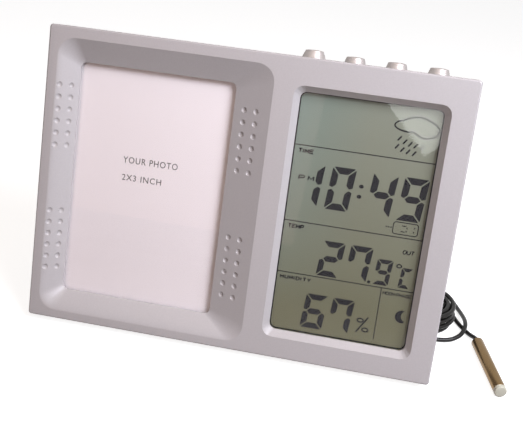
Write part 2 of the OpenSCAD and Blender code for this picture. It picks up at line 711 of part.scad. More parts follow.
module rear_cover() color(silver) stand_up() difference() {
    union() {
        difference() {
            skin([for (p = cover_profile) cover_ring(p, 0, case_depth)]);
            skin(concat([cover_ring([-0.05, 0], cover_wall, rear_y)],
                [for (p = cover_profile) cover_ring(p, cover_wall, rear_y)]));
        }
        battery_bay_walls();
        channel_walls();
        for (x = [-boss_x, boss_x], z = boss_z) intersection() {
            bar(x, z, post_r, cover_y, case_depth);
            skin([for (p = cover_profile) cover_ring(p, 0, case_depth)]);
        }
    }
    // battery bay and the step for its door
    block([-bay_x - bay_w / 2, bay_floor, bay_z], [-bay_x + bay_w / 2, case_depth + 1, bay_z + bay_len]);
    block([-bay_x - door_w / 2 - door_gap, rear_y, door_z[0] - door_gap],
        [-bay_x + door_w / 2 + door_gap, case_depth + 1, door_z[1] + door_gap]);
    translate([-bay_x, rear_y + door_t / 2, door_z[0] + door_t / 2]) rotate([0, 90, 0])
        cylinder(h = door_w + 2 * lug_len + 0.6, r = lug_d / 2 + 0.05, center = true);
    // hollow for a fingertip above the door
    translate([-bay_x, case_depth + 3.4, door_z[1]]) sphere(r = 5);
    // channel for the folded leg, open at the bottom
    block([-channel_w / 2, channel_floor, -1], [channel_w / 2, case_depth + 1, channel_top]);
    translate([0, pin_y, hinge_z]) rotate([0, 90, 0])
        cylinder(h = channel_w + 2 * socket_len + 0.4, r = pin_d / 2 + running, center = true);
    // screw holes
    for (x = [-boss_x, boss_x], z = boss_z) {
        bar(x, z, screw_d / 2 + 0.1, cover_y - 1, case_depth);
        bar(x, z, screw_head_d / 2 + 0.2, screw_seat, case_depth + 1);
    }
    // vents over the humidity sensor, and the lead's hole
    for (i = [-2:2]) block([vent_at[0] - 6, rear_y - 1, vent_at[1] + i * vent_step - vent_h / 2],
        [vent_at[0] + 6, case_depth + 1, vent_at[1] + i * vent_step + vent_h / 2]);
    bar(grommet_x, grommet_z, 1.8, rear_y - 1, case_depth + 1);
}

module case_screws() color(steel) stand_up() for (x = [-boss_x, boss_x], z = boss_z) difference() {
    union() {
        bar(x, z, screw_head_d / 2, screw_seat, screw_seat + screw_head_h);
        bar(x, z, screw_d / 2, screw_seat - screw_len, screw_seat + tiny);
    }
    for (turn = [0, 90]) translate([x, screw_seat + screw_head_h, z]) rotate([0, turn, 0])
        cube([2.4, 1.2, 0.5], center = true);
}

// ---- batteries ----

module battery_door() color(silver) stand_up() difference() {
    union() {
        block([-bay_x - door_w / 2, rear_y, door_z[0] + door_t / 2],
            [-bay_x + door_w / 2, rear_y + door_t, door_z[1]]);
        translate([-bay_x, rear_y + door_t / 2, door_z[0] + door_t / 2]) rotate([0, 90, 0]) {
            cylinder(h = door_w, d = door_t, center = true);
            cylinder(h = door_w + 2 * lug_len, d = lug_d, center = true);
        }
    }
    // grip lines near the top
    for (i = [0:3]) block([-bay_x - 7, rear_y + door_t - 0.4, door_z[1] - 6 - 2 * i],
        [-bay_x + 7, rear_y + door_t + 1, door_z[1] - 5.1 - 2 * i]);
}

// one cell, positive cap up or down
module cell(x, up) translate([x, cell_y, 0]) {
    bottom = bay_z + contact_t + (up ? spring_len : dimple_h + cap_h);
    translate([0, 0, bottom]) cylinder(h = cell_len, d = cell_d);
    translate([0, 0, up ? bottom + cell_len - tiny : bottom - cap_h]) cylinder(h = cap_h + tiny, d = 3.8);
}

module batteries() color([0.2, 0.24, 0.3]) stand_up() {
    cell(-bay_x - cell_dx, true);
    cell(-bay_x + cell_dx, false);
}

// a cone spring from its wide foot to the cell
module cone_spring(x, z, up) {
    turns = 3;
    steps = 14;
    wire_r = 0.3;
    rise = spring_len - 2 * wire_r - 0.1;
    translate([x, cell_y, z]) mirror([0, 0, up ? 0 : 1])
        tube([for (i = [0:turns * steps]) let (a = 360 * i / steps, s = i / (turns * steps),
            r = 3.6 - 1.5 * s)
            [r * cos(a), r * sin(a), wire_r + 0.05 + rise * s]], wire_r, 6);
}

module battery_springs() color(steel) stand_up() {
    cone_spring(-bay_x - cell_dx, bay_z + contact_t, true);
    cone_spring(-bay_x + cell_dx, bay_z + bay_len - contact_t, false);
}

// contact plates: one long plate links the cells at the bottom, two short ones carry the wires at the top
module battery_plates() color(steel) stand_up() {
    half = cell_d / 2 - 0.6;
    block([-bay_x - cell_dx - half, cell_y - half, bay_z],
        [-bay_x + cell_dx + half, cell_y + half, bay_z + contact_t]);
    translate([-bay_x + cell_dx, cell_y, bay_z + contact_t - tiny]) cylinder(h = dimple_h + tiny, r = 1.6);
    for (side = [-1, 1]) {
        x = -bay_x + side * cell_dx;
        block([x - half, cell_y - half, bay_z + bay_len - contact_t],
            [x + half, cell_y + half, bay_z + bay_len]);
    }
    translate([-bay_x - cell_dx, cell_y, bay_z + bay_len - contact_t - dimple_h])
        cylinder(h = dimple_h + tiny, r = 1.6);
}

// battery wires, from the bay's upper end over the leg's channel to the board
wire_d = 1.2;
wire_rise = 3.7;
wire_step = 3;

module battery_wire(x, rise, tint) color(tint) stand_up() {
    bottom = bay_z + bay_len + bay_wall;
    z = bottom + rise;
    tube([[x, wire_y, bottom], [x, wire_y, z - 2.5 * wire_d], [x + wire_d / 2, wire_y, z - 1.1 * wire_d],
        [x + 1.4 * wire_d, wire_y, z - wire_d / 4], [x + 3.3 * wire_d, wire_y, z],
        [wire_x - 4.2 * wire_d, wire_y, z], [wire_x - 2.1 * wire_d, wire_y - wire_d / 4, z],
        [wire_x - 0.7 * wire_d, wire_y - 0.9 * wire_d, z], [wire_x, wire_y - 2 * wire_d, z],
        [wire_x, board_back, z]], wire_d / 2, 8, [0.4, 0.5, 1]);
}
module wire_red() battery_wire(-bay_x - cell_dx, wire_rise + wire_step, [0.7, 0.1, 0.1]);
module wire_black() battery_wire(-bay_x + cell_dx, wire_rise, black);

// ---- leg ----

module stand_leg() color(silver) stand_up() translate([0, pin_y, hinge_z]) rotate([leg_open, 0, 0])
    difference() {
    union() {
        rotate([0, 90, 0]) cylinder(h = leg_w, r = knuckle_r, center = true);
        slab(-leg_t / 2, leg_t / 2) polygon([[-leg_w / 2, 0], [leg_w / 2, 0], [foot_w / 2, -leg_len],
            [-foot_w / 2, -leg_len]]);
        translate([0, 0, -leg_len]) rotate([0, 90, 0]) cylinder(h = foot_w, r = foot_r, center = true);
    }
    rotate([0, 90, 0]) cylinder(h = leg_w + 2, d = pin_d + 0.1, center = true);
    // shallow panel and grip lines on the outer side
    slab(leg_t / 2 - 0.5, leg_t) polygon([[-leg_w / 2 + 3.5, -6], [leg_w / 2 - 3.5, -6],
        [foot_w / 2 - 3, 14 - leg_len], [3 - foot_w / 2, 14 - leg_len]]);
    for (i = [0:2]) block([-6, leg_t / 2 - 0.5, 4 + 2.4 * i - leg_len],
        [6, leg_t, 5.2 + 2.4 * i - leg_len]);
}

module hinge_pin() color(steel) stand_up() translate([0, pin_y, hinge_z]) rotate([0, 90, 0])
    cylinder(h = channel_w + 2 * socket_len, d = pin_d, center = true);

// ---- probe and its lead ----

module lead_connector() color(white_plastic) stand_up() difference() {
    block([grommet_x - 3, board_back, grommet_z - 3], [grommet_x + 3, board_back + connector_h,
        grommet_z + 3]);
    for (x = [-4, 3]) block([grommet_x + x, board_back + 1, grommet_z - 4],
        [grommet_x + x + 1, board_back + 2, grommet_z + 4]);
}

module inner_lead() color(black) stand_up()
    bar(grommet_x, grommet_z, lead_d / 2, board_back + connector_h, case_depth + grommet_len);

// rubber grommet: flange inside, groove in the wall, ribbed cone outside
module lead_grommet() color(black) stand_up() translate([grommet_x, case_depth, grommet_z])
    rotate([-90, 0, 0])
    rotate_extrude() {
        bore = lead_d / 2 + running;
        polygon([[bore, -rear_wall - 1], [3, -rear_wall - 1], [3, -rear_wall], [1.75, -rear_wall],
            [1.75, 0], [3, 0],
            [3, 0.8], [2.4, 1.1], [2.4, 1.8], [2.1, 2], [2.1, 2.7], [1.9, 2.9], [1.9, 3.6], [1.6, 3.9],
            [1.5, grommet_len], [bore, grommet_len]]);
    }

// where the lead leaves the grommet, in front-edge coordinates, and its direction
exit_y = case_depth + grommet_len;
lead_exit = [grommet_x, grommet_z * sin(lean) + exit_y * cos(lean),
    grommet_z * cos(lean) - exit_y * sin(lean) + foot_lift];
exit_way = [0, cos(lean), -sin(lean)];

// the coil: it starts in the top layer at the outside, winds in and out again layer by layer,
// climbs between layers in the half turn where the spiral reverses, and ends at the table outside
function wave(t) = let (k = floor(t / layer_turns), s = t - k * layer_turns)
    k % 2 == 0 ? s : layer_turns - s;
function smooth(s) = s * s * (3 - 2 * s);
function layer_at(t) = let (k = min(max(round(t / layer_turns), 1), layers - 1),
    s = (t - k * layer_turns) * 2 + 0.5)
    k - 1 + smooth(min(max(s, 0), 1));
function coil_point(t) = let (r = coil_r - coil_pitch * wave(t), a = coil_start_angle - 360 * t)
    [coil_at[0] + r * cos(a), coil_at[1] + r * sin(a), coil_base + coil_pitch * (layers - 1 - layer_at(t))];
function heading(a) = [sin(a), -cos(a), 0];
coil_count = round(coil_turns * loop_steps);
coil_body = [for (i = [0:coil_count]) coil_point(min(i * coil_turns / coil_count, coil_turns - 0.0001))];
coil_first = coil_body[0] - lead_d * heading(coil_start_angle);
coil_last = coil_body[coil_count] + lead_d * heading(coil_end_angle);
coil_points = concat([coil_first], coil_body, [coil_last]);

// least gap of the coil to itself, on its own points
coil_least = min([for (i = [0:3:coil_count], j = [i + 12:coil_count])
    norm(coil_body[i] - coil_body[j])]) - lead_d;
echo(least_gap_of_coil = coil_least);

probe_way = [sin(probe_turn), -cos(probe_turn), 0];
probe_start = [probe_at[0], probe_at[1], probe_d / 2];
route_out = concat([lead_exit, lead_exit + 2.5 * exit_way], lead_points,
    [coil_first - heading(coil_start_angle), coil_first]);
route_in = concat([coil_last, coil_last + lead_d * heading(coil_end_angle)], tail_points,
    [probe_start - 2 * probe_way, probe_start]);

module probe_lead() color(black) on_table() tube(route_out, lead_d / 2, 8);
module lead_coil() color(black) on_table() tube(coil_points, lead_d / 2, 6);
module probe_tail() color(black) on_table() tube(route_in, lead_d / 2, 8);

// wire tie round the coil, at its hidden side
module coil_tie() color(black) on_table() {
    outer = coil_r + lead_d / 2 + 0.1 + tie_t;
    inner = coil_r - coil_pitch * layer_turns - lead_d / 2 - 0.1 - tie_t;
    top = coil_base + coil_pitch * (layers - 1) + lead_d / 2 + 0.1 + tie_t;
    translate([coil_at[0], coil_at[1], 0]) rotate([0, 0, 120]) rotate([90, 0, 0])
        linear_extrude(2.4, center = true) difference() {
            translate([inner, 0]) square([outer - inner, top]);
            translate([inner + tie_t, tie_t]) square([outer - inner - 2 * tie_t, top - 2 * tie_t]);
        }
}

module on_probe_axis() on_table() translate(probe_start) rotate([90, 0, probe_turn]) children();

module probe_tube() color(probe_metal) on_probe_axis() difference() {
    cylinder(h = probe_len - probe_cap_len, d = probe_d);
    translate([0, 0, probe_len - probe_cap_len - 3]) cylinder(h = 4, r = probe_d / 2 - 0.35);
}

module probe_cap() color(cream) on_probe_axis() rotate_extrude()
    polygon([[0, probe_len - probe_cap_len - 2.5], [probe_d / 2 - 0.37, probe_len - probe_cap_len - 2.5],
        [probe_d / 2 - 0.37, probe_len - probe_cap_len], [probe_d / 2, probe_len - probe_cap_len],
        [probe_d / 2, probe_len - 0.5], [probe_d / 2 - 0.4, probe_len - 0.05], [0, probe_len]]);

front_frame();
picture_window();
picture_card();
picture_back();
picture_back_screws();
lcd_lens();
front_polariser();
lcd_front_glass();
lcd_rear_glass();
rear_reflector();
lcd_holder();
zebra_strips();
circuit_board();
board_screws();
switch_bodies();
key_1();
key_2();
key_3();
key_4();
plunger_1();
plunger_2();
plunger_3();
plunger_4();
chip_resin();
quartz_crystal();
capacitor();
resistors();
buzzer();
humidity_sensor();
room_sensor();
rear_cover();
case_screws();
battery_door();
batteries();
battery_springs();
battery_plates();
wire_red();
wire_black();
lead_connector();
inner_lead();
lead_grommet();
stand_leg();
hinge_pin();
probe_lead();
lead_coil();
probe_tail();
coil_tie();
probe_tube();
probe_cap();
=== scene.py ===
"""Photo frame clock on a pale table: a silver case that leans back, a picture recess with rows of dents
on its left, a liquid crystal weather clock on its right, four keys on top and a probe on a coiled lead."""

import bmesh
import bpy
import numpy as np
from mathutils import Matrix, Vector


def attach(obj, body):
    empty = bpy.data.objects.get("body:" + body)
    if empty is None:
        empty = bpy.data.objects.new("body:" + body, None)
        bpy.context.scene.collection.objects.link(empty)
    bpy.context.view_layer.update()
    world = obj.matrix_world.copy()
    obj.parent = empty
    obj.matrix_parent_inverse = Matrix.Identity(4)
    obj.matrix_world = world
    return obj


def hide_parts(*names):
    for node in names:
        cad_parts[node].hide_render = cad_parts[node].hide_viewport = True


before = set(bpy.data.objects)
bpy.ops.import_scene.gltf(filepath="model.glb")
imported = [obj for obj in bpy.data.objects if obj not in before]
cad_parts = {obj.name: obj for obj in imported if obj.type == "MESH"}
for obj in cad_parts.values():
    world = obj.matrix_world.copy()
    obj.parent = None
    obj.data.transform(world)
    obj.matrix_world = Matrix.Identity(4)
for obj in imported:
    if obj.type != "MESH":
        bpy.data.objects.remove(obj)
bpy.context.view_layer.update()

# ---- camera, lights and table ----
# The photograph was taken from above the right-hand end, with a lens a little longer than normal. A soft
# box stands near, to the upper right, with two weak warm ones in front and overhead, and a fourth, very
# small, mirrors in the display. The table is plain and pale.

camera = bpy.data.objects.new("camera", bpy.data.cameras.new("camera"))
bpy.context.scene.collection.objects.link(camera)
camera.location = (0.040165, -0.239108, 0.157955)
camera.rotation_euler = np.radians([63.4751, -4.7596, 10.7427])
camera.data.lens = 57.4
camera.data.sensor_width = 36
camera.data.clip_start = 0.01
camera.data.clip_end = 20
bpy.context.scene.camera = camera
bpy.context.scene.view_settings.view_transform = "Standard"


def linear(hex_colour):
    """sRGB hex to linear RGBA: the standard piecewise curve on each channel."""
    s = np.array([int(hex_colour[i : i + 2], 16) for i in (1, 3, 5)]) / 255
    return (*np.where(s <= 0.04045, s / 12.92, ((s + 0.055) / 1.055) ** 2.4), 1.0)


def add(tree, kind, inputs=None, **settings):
    """Adds a node to a tree with its settings; an input is a value, or a socket to link."""
    n = tree.nodes.new(kind)
    for name, value in settings.items():
        setattr(n, name, value)
    for name, value in (inputs or {}).items():
        if isinstance(value, bpy.types.NodeSocket):
            tree.links.new(value, n.inputs[name])
        else:
            n.inputs[name].default_value = value
    return n


def soft_box(name, place, aim, size, power, hex_colour, roll=0.0):
    """A square lamp at a place, turned to a point and rolled about that line."""
    light = bpy.data.lights.new(name, "AREA")
    light.size, light.energy, light.color = size, power, linear(hex_colour)[:3]
    holder = bpy.data.objects.new(name, light)
    bpy.context.scene.collection.objects.link(holder)
    holder.location = place
    facing = (Vector(aim) - Vector(place)).to_track_quat("-Z", "Y").to_matrix()
    holder.rotation_euler = (facing @ Matrix.Rotation(roll, 3, "Z")).to_euler()


def seen_straight(tree):
    """1 on rays that see a thing directly, through glass or in a gloss, and 0 on the light it throws."""
    rays = add(tree, "ShaderNodeLightPath")
    clear = add(tree, "ShaderNodeMath", {0: rays.outputs["Is Camera Ray"],
                                         1: rays.outputs["Is Transmission Ray"]}, operation="MAXIMUM")
    return add(tree, "ShaderNodeMath", {0: clear.outputs[0], 1: rays.outputs["Is Glossy Ray"]},
               operation="MAXIMUM").outputs[0]


soft_box("near_light", (0.235, -0.17, 0.31), (0.01, 0, 0.04), 0.2, 2.05, "#f4f6ff")
soft_box("low_light", (-0.17, -0.56, 0.2), (0.01, 0, 0.04), 0.3, 0.38, "#ffd6c8")
soft_box("top_light", (0, -0.05, 0.5), (0.01, 0, 0.04), 0.4, 0.5, "#ffdcb8")
# a small lamp whose mirror image is the pale patch in the display's upper right corner
soft_box("patch_light", (0.078, -0.491, 0.191), (0.0515, -0.0028, 0.0827), 0.062, 0.105, "#f6f8f4", 0.75)

world = bpy.data.worlds.new("studio")
bpy.context.scene.world = world
world.use_nodes = True
sky = world.node_tree
sky.nodes.clear()
room = add(sky, "ShaderNodeBackground", {"Color": linear("#f4f4ff"), "Strength": 0.03})
white = add(sky, "ShaderNodeBackground", {"Color": linear("#ffffff"), "Strength": 1.0})
both = add(sky, "ShaderNodeMixShader", {0: seen_straight(sky), 1: room.outputs[0], 2: white.outputs[0]})
add(sky, "ShaderNodeOutputWorld", {"Surface": both.outputs[0]})

table = bpy.data.objects.new("table", bpy.data.meshes.new("table"))
bpy.context.scene.collection.objects.link(table)
reach, table_top = 3, -2e-5
table.data.from_pydata([(-reach, -reach, table_top), (reach, -reach, table_top), (reach, reach, table_top),
                        (-reach, reach, table_top)], [], [(0, 1, 2, 3)])

# White matt laminate. Where it is seen, directly or in a gloss, it also glows a little, which keeps it
# white up to its far edge, while the clock's soft shadow stays on it. The light that it throws back at
# the clock is lower and warmer, as from a wooden table top round a white sheet.
laminate = bpy.data.materials.new("white_laminate")
laminate.use_nodes = True
tree = laminate.node_tree
matt = tree.nodes["Principled BSDF"]
matt.inputs["Roughness"].default_value = 0.9
matt.inputs["Specular IOR Level"].default_value = 0.1
direct = seen_straight(tree)
tone = add(tree, "ShaderNodeMix", {0: direct, 6: linear("#665a50"), 7: linear("#c6c6c6")}, data_type="RGBA")
tree.links.new(tone.outputs[2], matt.inputs["Base Color"])
glow = add(tree, "ShaderNodeEmission", {"Color": linear("#ffffff"), "Strength": 0.85})
raised = add(tree, "ShaderNodeAddShader", {0: matt.outputs[0], 1: glow.outputs[0]})
either = add(tree, "ShaderNodeMixShader", {0: direct, 1: matt.outputs[0], 2: raised.outputs[0]})
tree.links.new(either.outputs[0], tree.nodes["Material Output"].inputs["Surface"])
table.data.materials.append(laminate)

# ---- probe lead ----
# One thin PVC-covered lead, 1.5 mm thick. It leaves the grommet, swings round behind the clock and over
# its own far end into the coil that the tie holds, and runs from under the coil to the probe.

front_edge = [0, -0.0256136, 0]
lead_radius = 0.75
lead_exit = [43.898, 31.8961, 9.5963]
lead_points = [[43.898, 34.311, 8.949], [43.9, 39, 7.1], [43.9, 42, 5.3], [43.8, 45, 3.5], [44, 48, 2.1],
               [44.5, 51, 1.3], [45.6, 54, 0.9], [47.4, 56.9, 0.8], [49.9, 59.6, 0.8], [53, 61.9, 0.8],
               [56.5, 63.5, 0.8], [60.2, 64.2, 0.8], [63.8, 64.1, 0.8], [67.2, 63.2, 0.8], [70, 61.5, 0.8],
               [72, 59.4, 0.8], [73.3, 56.6, 0.8], [74.4, 53.5, 0.9], [75.6, 50, 1.1], [76.6, 46, 1.7],
               [77.2, 42, 2.4], [77.3, 38.5, 2.8], [76.8, 35.4, 2.6], [75.7, 32.8, 2], [74, 31.1, 1.5],
               [72.3, 30, 1.2], [70, 29.3, 1], [67, 28.8, 1], [63.8, 28.4, 1.3], [60.5, 28.5, 2.2],
               [57.3, 29.3, 3.7], [55.3, 30.4, 5], [54, 31.8, 6.1], [53.2, 33.3, 6.8], [52.643, 34.832, 7.1]]
coil_centre, coil_base = [62.1, 42], 1.25
coil_radius, coil_pitch = 11.6, 1.95
coil_turns, coil_layers, coil_start = 12.5, 4, 205
lead_join = 1.5
tail_points = [[75, 41.9, 0.9], [76.3, 39.7, 0.8], [77.6, 37.6, 0.8], [78.6, 35.8, 1], [79.5, 34.2, 1.4],
               [80.643, 32.047, 2]]
probe_start = [81.1, 30.1, 2]


def coil_line(steps=36):
    """Centre line of the coil: over the turns the radius runs in and out once for every two layers, and
    the height drops one layer, eased, in the half turn where the spiral reverses."""
    t = np.linspace(0, coil_turns, int(coil_turns * steps) + 1)
    span = coil_turns / coil_layers
    k = np.minimum(np.floor(t / span), coil_layers - 1)
    inward = np.where(k % 2 == 0, t - k * span, (k + 1) * span - t)
    turn = np.clip(np.round(t / span), 1, coil_layers - 1)
    s = np.clip((t - turn * span) * 2 + 0.5, 0, 1)
    level = coil_layers - 1 - (turn - 1 + s * s * (3 - 2 * s))
    angle = np.radians(coil_start - 360 * t)
    radius = coil_radius - coil_pitch * inward
    return np.stack([coil_centre[0] + radius * np.cos(angle), coil_centre[1] + radius * np.sin(angle),
                     coil_base + coil_pitch * level], 1)


def eased_line(points, parts, closed=False):
    """Catmull-Rom curve through the points, with so many parts to each span."""
    p = np.asarray(points, float)
    ends = ([p[-1]], [p[0], p[1]]) if closed else ([2 * p[0] - p[1]], [2 * p[-1] - p[-2]])
    p = np.concatenate([ends[0], p, ends[1]])
    a, b, c, d = p[:-3, None], p[1:-2, None], p[2:-1, None], p[3:, None]
    t = np.linspace(0, 1, parts, endpoint=False)[None, :, None]
    curve = (b + (c - a) * t / 2 + (2 * a - 5 * b + 4 * c - d) * t**2 / 2
             + (3 * b - a - 3 * c + d) * t**3 / 2).reshape(-1, p.shape[1])
    return curve if closed else np.concatenate([curve, p[-2:-1]])


def piece(name, points, faces, sharp=35):
    """A new object from points in metres and faces: doubles merged, normals outwards, smooth up to the
    sharp angle in degrees."""
    mesh = bpy.data.meshes.new(name)
    mesh.from_pydata(np.asarray(points).tolist(), [], faces)
    shell = bmesh.new()
    shell.from_mesh(mesh)
    bmesh.ops.remove_doubles(shell, verts=shell.verts, dist=1e-7)
    bmesh.ops.recalc_face_normals(shell, faces=shell.faces)
    shell.to_mesh(mesh)
    shell.free()
    mesh.shade_smooth()
    mesh.set_sharp_from_angle(angle=np.radians(sharp))
    made = bpy.data.objects.new(name, mesh)
    bpy.context.scene.collection.objects.link(made)
    return made


def grid_faces(rows, columns, ring=False):
    """Faces over rows of points: neighbours make quads, each row closes on itself, and the first and the
    last row close with one face each, or with each other when the rows make a ring."""
    i, k = np.meshgrid(np.arange(rows if ring else rows - 1), np.arange(columns), indexing="ij")
    j, n = (i + 1) % rows, (k + 1) % columns
    quads = np.stack([i, j, j, i], -1).reshape(-1, 4) * columns + np.stack([k, k, n, n], -1).reshape(-1, 4)
    ends = [] if ring else [list(range(columns)), list(range((rows - 1) * columns, rows * columns))]
    return quads.tolist() + ends


def tube_grid(line, radius, sides=12):
    """Rings round a line: each is a circle square to it, and starts at the level direction across it."""
    along = np.gradient(line, axis=0)
    along /= np.linalg.norm(along, axis=1)[:, None]
    across = np.cross(along, [0, 0, 1])
    across /= np.linalg.norm(across, axis=1)[:, None]
    a = np.linspace(0, 2 * np.pi, sides, endpoint=False)[None, :, None]
    over = np.cross(across, along)
    return line[:, None] + radius * (np.cos(a) * across[:, None] + np.sin(a) * over[:, None])


coil = coil_line()
into_coil = np.array([np.sin(np.radians(coil_start)), -np.cos(np.radians(coil_start)), 0])
to_coil = eased_line([lead_exit] + lead_points + [coil[0] - lead_join * into_coil, coil[0]], 4)
to_probe = eased_line([coil[-1], coil[-1] - lead_join * into_coil] + tail_points + [probe_start], 4)
lead_line = np.concatenate([to_coil[:-1], coil, to_probe[1:]]) / 1000 + front_edge

rings = tube_grid(lead_line, lead_radius / 1000)
lead = piece("lead_sheath", rings.reshape(-1, 3), grid_faces(*rings.shape[:2]), sharp=60)
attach(lead, "case")
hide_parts("probe_lead", "lead_coil", "probe_tail")


def grained(name, pale, deep, grain_mm, roughness, relief_mm=0.0, **sockets):
    """A finish with grain: noise of the grain's real size runs the colour from deep to pale, moves the
    roughness by a twentieth either way and raises the surface by the relief. Sockets are the shader's."""
    made = bpy.data.materials.new(name)
    made.use_nodes = True
    tree = made.node_tree
    shader = tree.nodes["Principled BSDF"]
    place = add(tree, "ShaderNodeTexCoord")
    grain = add(tree, "ShaderNodeTexNoise", {"Vector": place.outputs["Object"], "Scale": 1000 / grain_mm,
                                             "Detail": 3.0})
    tone = add(tree, "ShaderNodeMix", {0: grain.outputs["Fac"], 6: linear(deep), 7: linear(pale)},
               data_type="RGBA")
    gloss = add(tree, "ShaderNodeMapRange", {"Value": grain.outputs["Fac"], "To Min": roughness - 0.05,
                                             "To Max": roughness + 0.05})
    tree.links.new(tone.outputs[2], shader.inputs["Base Color"])
    tree.links.new(gloss.outputs[0], shader.inputs["Roughness"])
    if relief_mm:
        relief = add(tree, "ShaderNodeBump", {"Height": grain.outputs["Fac"], "Distance": relief_mm / 1000})
        tree.links.new(relief.outputs[0], shader.inputs["Normal"])
    for socket, value in sockets.items():
        shader.inputs[socket.replace("_", " ")].default_value = value
    return made


# Soft PVC, extruded: nearly black, with a broad grey sheen and faint marks from the die.
pvc_black = grained("soft_pvc_black", "#1a1716", "#0b0a09", 1.2, 0.34, 0.01, Specular_IOR_Level=0.3)
lead.data.materials.append(pvc_black)

# ---- coil tie ----
# A flat plastic-covered wire bent round the coil at the side that the case hides. The band is 2.4 mm
# wide and 0.4 mm thick, and its corners follow the outer turns.

tie_angle, tie_width, tie_thick = 120, 2.4, 0.4
tie_inner, tie_outer, tie_top, tie_corner = 4.256, 12.85, 8.35, 0.7


def rounded_box(x0, x1, z0, z1, r, n=6):
    """Corner points of a rectangle with round corners: a quarter circle of n steps at each corner."""
    a = np.radians(90 * np.arange(4)[:, None] + 90 * np.arange(n + 1)[None, :] / n)
    cx, cz = np.array([x1 - r, x0 + r, x0 + r, x1 - r]), np.array([z1 - r, z1 - r, z0 + r, z0 + r])
    return np.stack([cx[:, None] + r * np.cos(a), cz[:, None] + r * np.sin(a)], -1).reshape(-1, 2)


def tie_grid():
    """The band: an oval section, wide across and thin inwards, is carried round a rounded rectangle."""
    half = tie_thick / 2
    path = rounded_box(tie_inner + half, tie_outer - half, half, tie_top - half, tie_corner)
    ahead = np.roll(path, -1, 0) - np.roll(path, 1, 0)
    out = np.stack([ahead[:, 1], -ahead[:, 0]], 1) / np.linalg.norm(ahead, axis=1)[:, None]
    a = np.linspace(0, 2 * np.pi, 12, endpoint=False)
    wide = tie_width / 2 * np.sign(np.cos(a)) * np.abs(np.cos(a)) ** 0.5
    thin = half * np.sign(np.sin(a)) * np.abs(np.sin(a)) ** 0.5
    section = path[:, None] + thin[None, :, None] * out[:, None]
    turn = np.radians(tie_angle)
    x = coil_centre[0] + section[..., 0] * np.cos(turn) - wide * np.sin(turn)
    y = coil_centre[1] + section[..., 0] * np.sin(turn) + wide * np.cos(turn)
    return np.stack([x, y, section[..., 1]], -1) / 1000 + front_edge


band = tie_grid()
tie = piece("coil_tie_band", band.reshape(-1, 3), grid_faces(*band.shape[:2], ring=True), sharp=60)
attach(tie, "case")
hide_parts("coil_tie")
tie.data.materials.append(pvc_black)

# ---- probe ----
# A sensor in a drawn metal tube, 4 mm thick, closed by a pale resin cap. The tube's end at the lead is
# rolled in, and the cap's edge has a small round.

probe_turn = np.radians(13.2)
probe_way = [np.sin(probe_turn), -np.cos(probe_turn), 0]
probe_place = np.array(probe_start) / 1000 + front_edge
probe_radius, tube_length, cap_length = 2.0, 25.2, 1.4
tube_roll, tube_rim, tube_bore, bore_depth = 0.35, 0.15, 1.65, 3
cap_shank, shank_length, cap_gap, cap_round = 1.63, 2.5, 0.02, 0.45


def revolve(name, profile, place, axis, sides=48, sharp=35):
    """Surface of revolution: each profile point, a radius and a distance along the axis in mm, is carried
    round the axis through the place, which is in metres."""
    line = np.asarray(profile, float) / 1000
    along = Vector(axis).normalized()
    side = along.orthogonal().normalized()
    a = np.linspace(0, 2 * np.pi, sides, endpoint=False)[None, :, None]
    r, h = line[:, 0, None, None], line[:, 1, None, None]
    grid = (np.asarray(place) + h * np.array(along)
            + r * (np.cos(a) * np.array(side) + np.sin(a) * np.array(along.cross(side))))
    return piece(name, grid.reshape(-1, 3), grid_faces(*grid.shape[:2]), sharp)


def arc(cx, cy, r, start, stop, n=6):
    """Points of a circle's arc from the start angle to the stop angle, in degrees."""
    a = np.radians(np.linspace(start, stop, n + 1))
    return np.stack([cx + r * np.cos(a), cy + r * np.sin(a)], 1).tolist()


rolled = arc(probe_radius - tube_roll, tube_roll, tube_roll, -90, 0)
rim = arc(probe_radius - tube_rim, tube_length - tube_rim, tube_rim, 0, 90, 3)
bore = [[tube_bore, tube_length], [tube_bore, tube_length - bore_depth], [0, tube_length - bore_depth]]
sleeve = revolve("probe_sleeve", [[0, 0]] + rolled + rim + bore, probe_place, probe_way)
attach(sleeve, "case")
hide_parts("probe_tube")

# Nickel-plated brass tube: bright, with fine marks round it from drawing. Its warm brown cast and darkened
# tone are a painted reflection of a brown room, put into the base colour.
nickel = grained("nickel_brass_painted_reflection", "#8c7452", "#7e6647", 3.0, 0.28, 0.0, Metallic=0.9)
sleeve.data.materials.append(nickel)

shank = [[0, tube_length - shank_length], [cap_shank, tube_length - shank_length],
         [cap_shank, tube_length + cap_gap], [probe_radius, tube_length + cap_gap]]
edge = arc(probe_radius - cap_round, tube_length + cap_length - cap_round, cap_round, 0, 90)
cap = revolve("probe_end_cap", shank + edge + [[0, tube_length + cap_length]], probe_place, probe_way)
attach(cap, "case")
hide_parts("probe_cap")
# Cast epoxy, unpainted: cream, smooth, with a soft gloss.
cap.data.materials.append(grained("cast_epoxy_cream", "#d0cfc0", "#bdbcac", 2.0, 0.35))

# ---- grommet and lead connector ----
# A black rubber grommet grips the back shell, and its ribbed cone eases the lead's bend. Inside, the lead
# ends in a small white housing on the board.


def dress(material, *nodes):
    """Gives CAD nodes a material in every slot they have."""
    for name in nodes:
        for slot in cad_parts[name].material_slots:
            slot.material = material


# Nitrile rubber, moulded: matt and very dark.
dress(grained("moulded_rubber", "#262524", "#161514", 0.8, 0.6, 0.01), "lead_grommet")
dress(pvc_black, "inner_lead", "wire_black")
# White nylon, moulded: satin, a little yellow.
nylon = grained("white_nylon", "#e6e5dd", "#dad9d0", 1.5, 0.45)
dress(nylon, "lead_connector", "plunger_1", "plunger_2", "plunger_3", "plunger_4")

# ---- front frame ----
# One injection moulding in ABS: the face, the sides, the lofted picture recess with four groups of round
# dents on its side slopes, and the display's bevel. It is sprayed with silver paint.

